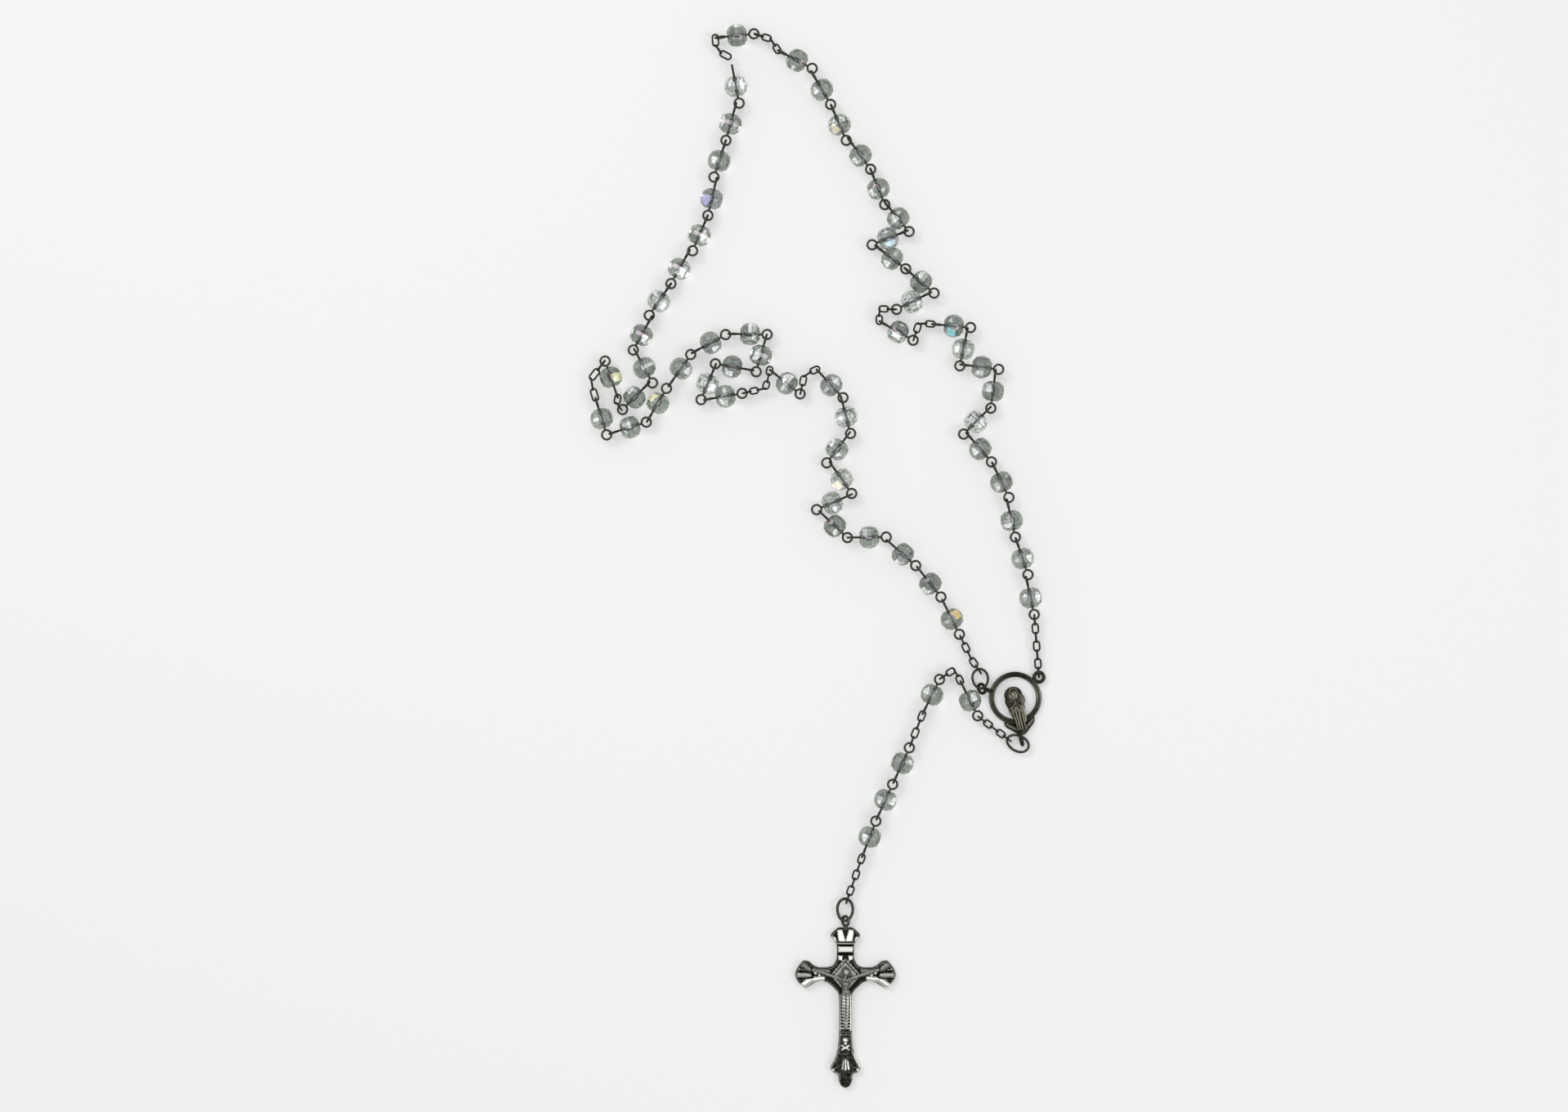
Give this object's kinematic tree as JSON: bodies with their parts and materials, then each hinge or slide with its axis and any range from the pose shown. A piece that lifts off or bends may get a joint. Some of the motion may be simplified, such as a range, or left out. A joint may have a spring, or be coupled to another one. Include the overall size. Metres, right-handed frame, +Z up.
{
  "type": "rosary",
  "caption": "Rosary laid flat: faceted clear glass beads on looped silver pins and fine chain, a ring centrepiece with a veiled figure, and a crucifix.",
  "frame": {"origin": "on the surface the rosary lies on, under the middle of its box", "axes": "+Y up the lay from the crucifix to the far end of the loop, +X to the side of the centrepiece, +Z up off the surface"},
  "size_m": [0.1244, 0.2894, 0.0062],
  "materials": {
    "crystal_glass": "clear cut glass with a faint iridescent coating",
    "dark_silver_wire": "dark antique silver wire",
    "antique_silver": "blackened antique silver casting",
    "bright_silver": "bright silver casting with dark recesses"
  },
  "bodies": {
    "centrepiece": {"centrepiece_ring": "antique_silver", "veiled_figure": "antique_silver"},
    "right_chain": {"right_chain": "dark_silver_wire"},
    "decade_1_beads_1_2": {"decade_1_beads_1_2": "crystal_glass"},
    "decade_1_beads_3_4": {"decade_1_beads_3_4": "crystal_glass"},
    "decade_1_beads_5_6": {"decade_1_beads_5_6": "crystal_glass"},
    "decade_1_beads_7_8": {"decade_1_beads_7_8": "crystal_glass"},
    "decade_1_beads_9_10": {"decade_1_beads_9_10": "crystal_glass"},
    "chain_before_father_1": {"chain_before_father_1": "dark_silver_wire"},
    "father_link_1": {"father_link_1": "crystal_glass"},
    "chain_after_father_1": {"chain_after_father_1": "dark_silver_wire"},
    "decade_2_beads_1_2": {"decade_2_beads_1_2": "crystal_glass"},
    "decade_2_beads_3_4": {"decade_2_beads_3_4": "crystal_glass"},
    "decade_2_beads_5_6": {"decade_2_beads_5_6": "crystal_glass"},
    "decade_2_beads_7_8": {"decade_2_beads_7_8": "crystal_glass"},
    "decade_2_beads_9_10": {"decade_2_beads_9_10": "crystal_glass"},
    "chain_before_father_2": {"chain_before_father_2": "dark_silver_wire"},
    "father_link_2": {"father_link_2": "crystal_glass"},
    "chain_after_father_2": {"chain_after_father_2": "dark_silver_wire"},
    "left_jump_ring": {"left_jump_ring": "dark_silver_wire"},
    "left_chain": {"left_chain": "dark_silver_wire"},
    "decade_5_beads_10_9": {"decade_5_beads_10_9": "crystal_glass"},
    "decade_5_beads_8_7": {"decade_5_beads_8_7": "crystal_glass"},
    "decade_5_beads_6_5": {"decade_5_beads_6_5": "crystal_glass"},
    "decade_5_beads_4_3": {"decade_5_beads_4_3": "crystal_glass"},
    "decade_5_beads_2_1": {"decade_5_beads_2_1": "crystal_glass"},
    "chain_after_father_4": {"chain_after_father_4": "dark_silver_wire"},
    "father_link_4": {"father_link_4": "crystal_glass"},
    "chain_before_father_4": {"chain_before_father_4": "dark_silver_wire"},
    "decade_4_beads_10_9": {"decade_4_beads_10_9": "crystal_glass"},
    "decade_4_beads_8_7": {"decade_4_beads_8_7": "crystal_glass"},
    "decade_4_beads_6_5": {"decade_4_beads_6_5": "crystal_glass"},
    "decade_4_beads_4_3": {"decade_4_beads_4_3": "crystal_glass"},
    "decade_4_beads_2_1": {"decade_4_beads_2_1": "crystal_glass"},
    "chain_after_father_3": {"chain_after_father_3": "dark_silver_wire"},
    "father_link_3": {"father_link_3": "crystal_glass"},
    "chain_before_father_3": {"chain_before_father_3": "dark_silver_wire"},
    "decade_3_beads_10_9": {"decade_3_beads_10_9": "crystal_glass"},
    "decade_3_beads_8_7": {"decade_3_beads_8_7": "crystal_glass"},
    "decade_3_beads_6_5": {"decade_3_beads_6_5": "crystal_glass"},
    "decade_3_beads_4_3": {"decade_3_beads_4_3": "crystal_glass"},
    "decade_3_beads_2_1": {"decade_3_beads_2_1": "crystal_glass"},
    "bottom_jump_ring": {"bottom_jump_ring": "dark_silver_wire"},
    "drop_chain_1": {"drop_chain_1": "dark_silver_wire"},
    "drop_pin_1": {"drop_pin_1": "dark_silver_wire"},
    "drop_bead_1": {"drop_bead_1": "crystal_glass"},
    "drop_chain_2": {"drop_chain_2": "dark_silver_wire"},
    "drop_pin_2": {"drop_pin_2": "dark_silver_wire"},
    "drop_bead_2": {"drop_bead_2": "crystal_glass"},
    "drop_chain_3": {"drop_chain_3": "dark_silver_wire"},
    "drop_pin_3": {"drop_pin_3": "dark_silver_wire"},
    "drop_bead_3": {"drop_bead_3": "crystal_glass"},
    "drop_pin_4": {"drop_pin_4": "dark_silver_wire"},
    "drop_bead_4": {"drop_bead_4": "crystal_glass"},
    "drop_pin_5": {"drop_pin_5": "dark_silver_wire"},
    "drop_bead_5": {"drop_bead_5": "crystal_glass"},
    "drop_chain_4": {"drop_chain_4": "dark_silver_wire"},
    "crucifix_jump_ring": {"crucifix_jump_ring": "dark_silver_wire"},
    "crucifix": {"crucifix_cross": "bright_silver", "crucifix_figure": "bright_silver"}
  },
  "joints": [
    {"name": "right_chain_swing", "type": "hinge", "parent": "centrepiece", "child": "right_chain", "pos_m": [0.06044, -0.03283, 0.0013], "axis": [0, 0, -1], "range_deg": [0, 7]},
    {"name": "decade_1_beads_1_2_swing", "type": "hinge", "parent": "right_chain", "child": "decade_1_beads_1_2", "pos_m": [0.05904, -0.01583, 0.0031], "axis": [0, 0, -1], "range_deg": [0, 7]},
    {"name": "decade_1_beads_3_4_swing", "type": "hinge", "parent": "decade_1_beads_1_2", "child": "decade_1_beads_3_4", "pos_m": [0.05394, 0.00507, 0.0031], "axis": [0, 0, -1], "range_deg": [0, 7]},
    {"name": "decade_1_beads_5_6_swing", "type": "hinge", "parent": "decade_1_beads_3_4", "child": "decade_1_beads_5_6", "pos_m": [0.04754, 0.02557, 0.0031], "axis": [0, 0, -1], "range_deg": [0, 7]},
    {"name": "decade_1_beads_7_8_swing", "type": "hinge", "parent": "decade_1_beads_5_6", "child": "decade_1_beads_7_8", "pos_m": [0.04726, 0.04075, 0.0031], "axis": [0, 0, -1], "range_deg": [0, 7]},
    {"name": "decade_1_beads_9_10_swing", "type": "hinge", "parent": "decade_1_beads_7_8", "child": "decade_1_beads_9_10", "pos_m": [0.03887, 0.05223, 0.0031], "axis": [0, 0, -1], "range_deg": [0, 7]},
    {"name": "chain_before_father_1_swing", "type": "hinge", "parent": "decade_1_beads_9_10", "child": "chain_before_father_1", "pos_m": [0.03121, 0.06318, 0.0031], "axis": [0, 0, -1], "range_deg": [0, 7]},
    {"name": "father_link_1_swing", "type": "hinge", "parent": "chain_before_father_1", "child": "father_link_1", "pos_m": [0.02616, 0.05876, 0.0031], "axis": [0, 0, -1], "range_deg": [0, 7]},
    {"name": "chain_after_father_1_swing", "type": "hinge", "parent": "father_link_1", "child": "chain_after_father_1", "pos_m": [0.01691, 0.06398, 0.0031], "axis": [0, 0, -1], "range_deg": [0, 7]},
    {"name": "decade_2_beads_1_2_swing", "type": "hinge", "parent": "chain_after_father_1", "child": "decade_2_beads_1_2", "pos_m": [0.02153, 0.06717, 0.0031], "axis": [0, 0, -1], "range_deg": [0, 7]},
    {"name": "decade_2_beads_3_4_swing", "type": "hinge", "parent": "decade_2_beads_1_2", "child": "decade_2_beads_3_4", "pos_m": [0.02376, 0.07845, 0.0031], "axis": [0, 0, -1], "range_deg": [0, 7]},
    {"name": "decade_2_beads_5_6_swing", "type": "hinge", "parent": "decade_2_beads_3_4", "child": "decade_2_beads_5_6", "pos_m": [0.02473, 0.08865, 0.0031], "axis": [0, 0, -1], "range_deg": [0, 7]},
    {"name": "decade_2_beads_7_8_swing", "type": "hinge", "parent": "decade_2_beads_5_6", "child": "decade_2_beads_7_8", "pos_m": [0.01443, 0.10543, 0.0031], "axis": [0, 0, -1], "range_deg": [0, 7]},
    {"name": "decade_2_beads_9_10_swing", "type": "hinge", "parent": "decade_2_beads_7_8", "child": "decade_2_beads_9_10", "pos_m": [0.00374, 0.12277, 0.0031], "axis": [0, 0, -1], "range_deg": [0, 7]},
    {"name": "chain_before_father_2_swing", "type": "hinge", "parent": "decade_2_beads_9_10", "child": "chain_before_father_2", "pos_m": [-0.01066, 0.13757, 0.0031], "axis": [0, 0, -1], "range_deg": [0, 7]},
    {"name": "father_link_2_swing", "type": "hinge", "parent": "chain_before_father_2", "child": "father_link_2", "pos_m": [-0.01706, 0.14207, 0.0031], "axis": [0, 0, -1], "range_deg": [0, 7]},
    {"name": "chain_after_father_2_swing", "type": "hinge", "parent": "father_link_2", "child": "chain_after_father_2", "pos_m": [-0.02766, 0.14097, 0.0031], "axis": [0, 0, -1], "range_deg": [0, 7]},
    {"name": "left_jump_ring_swing", "type": "hinge", "parent": "centrepiece", "child": "left_jump_ring", "pos_m": [0.04466, -0.03466, 0.00183], "axis": [0, 0, 1], "range_deg": [0, 7]},
    {"name": "left_chain_swing", "type": "hinge", "parent": "left_jump_ring", "child": "left_chain", "pos_m": [0.04464, -0.03178, 0.00183], "axis": [0, 0, 1], "range_deg": [0, 7]},
    {"name": "decade_5_beads_10_9_swing", "type": "hinge", "parent": "left_chain", "child": "decade_5_beads_10_9", "pos_m": [0.03886, -0.02149, 0.0031], "axis": [0, 0, 1], "range_deg": [0, 7]},
    {"name": "decade_5_beads_8_7_swing", "type": "hinge", "parent": "decade_5_beads_10_9", "child": "decade_5_beads_8_7", "pos_m": [0.02711, -0.0027, 0.0031], "axis": [0, 0, 1], "range_deg": [0, 7]},
    {"name": "decade_5_beads_6_5_swing", "type": "hinge", "parent": "decade_5_beads_8_7", "child": "decade_5_beads_6_5", "pos_m": [0.00824, 0.00517, 0.0031], "axis": [0, 0, 1], "range_deg": [0, 7]},
    {"name": "decade_5_beads_4_3_swing", "type": "hinge", "parent": "decade_5_beads_6_5", "child": "decade_5_beads_4_3", "pos_m": [0.00954, 0.01697, 0.0031], "axis": [0, 0, 1], "range_deg": [0, 7]},
    {"name": "decade_5_beads_2_1_swing", "type": "hinge", "parent": "decade_5_beads_4_3", "child": "decade_5_beads_2_1", "pos_m": [0.00899, 0.03387, 0.0031], "axis": [0, 0, 1], "range_deg": [0, 7]},
    {"name": "chain_after_father_4_swing", "type": "hinge", "parent": "decade_5_beads_2_1", "child": "chain_after_father_4", "pos_m": [-0.00018, 0.05089, 0.0031], "axis": [0, 0, 1], "range_deg": [0, 7]},
    {"name": "father_link_4_swing", "type": "hinge", "parent": "chain_after_father_4", "child": "father_link_4", "pos_m": [-0.00456, 0.04417, 0.0031], "axis": [0, 0, 1], "range_deg": [0, 7]},
    {"name": "chain_before_father_4_swing", "type": "hinge", "parent": "father_link_4", "child": "chain_before_father_4", "pos_m": [-0.01287, 0.05078, 0.0031], "axis": [0, 0, 1], "range_deg": [0, 7]},
    {"name": "decade_4_beads_10_9_swing", "type": "hinge", "parent": "chain_before_father_4", "child": "decade_4_beads_10_9", "pos_m": [-0.02026, 0.04437, 0.0031], "axis": [0, 0, 1], "range_deg": [0, 7]},
    {"name": "decade_4_beads_8_7_swing", "type": "hinge", "parent": "decade_4_beads_10_9", "child": "decade_4_beads_8_7", "pos_m": [-0.02746, 0.05237, 0.0031], "axis": [0, 0, 1], "range_deg": [0, 7]},
    {"name": "decade_4_beads_6_5_swing", "type": "hinge", "parent": "decade_4_beads_8_7", "child": "decade_4_beads_6_5", "pos_m": [-0.01366, 0.06037, 0.0031], "axis": [0, 0, 1], "range_deg": [0, 2]},
    {"name": "decade_4_beads_4_3_swing", "type": "hinge", "parent": "decade_4_beads_6_5", "child": "decade_4_beads_4_3", "pos_m": [-0.03411, 0.05526, 0.0031], "axis": [0, 0, 1], "range_deg": [0, 7]},
    {"name": "decade_4_beads_2_1_swing", "type": "hinge", "parent": "decade_4_beads_4_3", "child": "decade_4_beads_2_1", "pos_m": [-0.04624, 0.03661, 0.0031], "axis": [0, 0, 1], "range_deg": [0, 7]},
    {"name": "chain_after_father_3_swing", "type": "hinge", "parent": "decade_4_beads_2_1", "child": "chain_after_father_3", "pos_m": [-0.06026, 0.04317, 0.0031], "axis": [0, 0, 1], "range_deg": [0, 7]},
    {"name": "father_link_3_swing", "type": "hinge", "parent": "chain_after_father_3", "child": "father_link_3", "pos_m": [-0.05766, 0.05327, 0.0031], "axis": [0, 0, 1], "range_deg": [0, 2]},
    {"name": "chain_before_father_3_swing", "type": "hinge", "parent": "father_link_3", "child": "chain_before_father_3", "pos_m": [-0.05416, 0.04317, 0.0031], "axis": [0, 0, 1], "range_deg": [0, 7]},
    {"name": "decade_3_beads_10_9_swing", "type": "hinge", "parent": "chain_before_father_3", "child": "decade_3_beads_10_9", "pos_m": [-0.05306, 0.03977, 0.0031], "axis": [0, 0, 1], "range_deg": [0, 7]},
    {"name": "decade_3_beads_8_7_swing", "type": "hinge", "parent": "decade_3_beads_10_9", "child": "decade_3_beads_8_7", "pos_m": [-0.04976, 0.05647, 0.0031], "axis": [0, 0, 1], "range_deg": [0, 7]},
    {"name": "decade_3_beads_6_5_swing", "type": "hinge", "parent": "decade_3_beads_8_7", "child": "decade_3_beads_6_5", "pos_m": [-0.03966, 0.07427, 0.0031], "axis": [0, 0, 1], "range_deg": [0, 7]},
    {"name": "decade_3_beads_4_3_swing", "type": "hinge", "parent": "decade_3_beads_6_5", "child": "decade_3_beads_4_3", "pos_m": [-0.02966, 0.09277, 0.0031], "axis": [0, 0, 1], "range_deg": [0, 7]},
    {"name": "decade_3_beads_2_1_swing", "type": "hinge", "parent": "decade_3_beads_4_3", "child": "decade_3_beads_2_1", "pos_m": [-0.02476, 0.11317, 0.0031], "axis": [0, 0, 1], "range_deg": [0, 7]},
    {"name": "bottom_jump_ring_swing", "type": "hinge", "parent": "centrepiece", "child": "bottom_jump_ring", "pos_m": [0.05568, -0.05019, 0.00183], "axis": [0, 0, 1], "range_deg": [0, 10]},
    {"name": "drop_chain_1_swing", "type": "hinge", "parent": "bottom_jump_ring", "child": "drop_chain_1", "pos_m": [0.05274, -0.05023, 0.00183], "axis": [0, 0, 1], "range_deg": [0, 10]},
    {"name": "drop_pin_1_swing", "type": "hinge", "parent": "drop_chain_1", "child": "drop_pin_1", "pos_m": [0.04374, -0.04343, 0.0031], "axis": [0, 0, 1], "range_deg": [0, 10]},
    {"name": "drop_bead_1_spin", "type": "hinge", "parent": "drop_pin_1", "child": "drop_bead_1", "pos_m": [0.04158, -0.03912, 0.0031], "axis": [-0.4472, 0.8944, 0], "continuous": true},
    {"name": "drop_chain_2_swing", "type": "hinge", "parent": "drop_pin_1", "child": "drop_chain_2", "pos_m": [0.03894, -0.03383, 0.0031], "axis": [0, 0, 1], "range_deg": [-10, 10]},
    {"name": "drop_pin_2_swing", "type": "hinge", "parent": "drop_chain_2", "child": "drop_pin_2", "pos_m": [0.03334, -0.03323, 0.0031], "axis": [0, 0, 1], "range_deg": [-10, 10]},
    {"name": "drop_bead_2_spin", "type": "hinge", "parent": "drop_pin_2", "child": "drop_bead_2", "pos_m": [0.03123, -0.03752, 0.0031], "axis": [-0.4397, -0.8981, 0], "continuous": true},
    {"name": "drop_chain_3_swing", "type": "hinge", "parent": "drop_pin_2", "child": "drop_chain_3", "pos_m": [0.02864, -0.04283, 0.0031], "axis": [0, 0, 1], "range_deg": [-10, 10]},
    {"name": "drop_pin_3_swing", "type": "hinge", "parent": "drop_chain_3", "child": "drop_pin_3", "pos_m": [0.02524, -0.05154, 0.0031], "axis": [0, 0, 1], "range_deg": [-10, 10]},
    {"name": "drop_bead_3_spin", "type": "hinge", "parent": "drop_pin_3", "child": "drop_bead_3", "pos_m": [0.02315, -0.05613, 0.0031], "axis": [-0.4146, -0.91, 0], "continuous": true},
    {"name": "drop_pin_4_swing", "type": "hinge", "parent": "drop_pin_3", "child": "drop_pin_4", "pos_m": [0.0207, -0.06151, 0.0031], "axis": [0, 0, 1], "range_deg": [-10, 10]},
    {"name": "drop_bead_4_spin", "type": "hinge", "parent": "drop_pin_4", "child": "drop_bead_4", "pos_m": [0.01859, -0.0661, 0.0031], "axis": [-0.4177, -0.9086, 0], "continuous": true},
    {"name": "drop_pin_5_swing", "type": "hinge", "parent": "drop_pin_4", "child": "drop_pin_5", "pos_m": [0.01612, -0.07147, 0.0031], "axis": [0, 0, 1], "range_deg": [-10, 10]},
    {"name": "drop_bead_5_spin", "type": "hinge", "parent": "drop_pin_5", "child": "drop_bead_5", "pos_m": [0.01431, -0.07618, 0.0031], "axis": [-0.3589, -0.9334, 0], "continuous": true},
    {"name": "drop_chain_4_swing", "type": "hinge", "parent": "drop_pin_5", "child": "drop_chain_4", "pos_m": [0.01219, -0.0817, 0.0031], "axis": [0, 0, 1], "range_deg": [-10, 10]},
    {"name": "crucifix_jump_ring_swing", "type": "hinge", "parent": "drop_chain_4", "child": "crucifix_jump_ring", "pos_m": [0.00794, -0.09428, 0.00183], "axis": [0, 0, 1], "range_deg": [-10, 10]},
    {"name": "crucifix_flip", "type": "hinge", "parent": "crucifix_jump_ring", "child": "crucifix", "pos_m": [0.00774, -0.09917, 0.00183], "axis": [-1, 0, 0], "range_deg": [0, 90]}
  ]
}
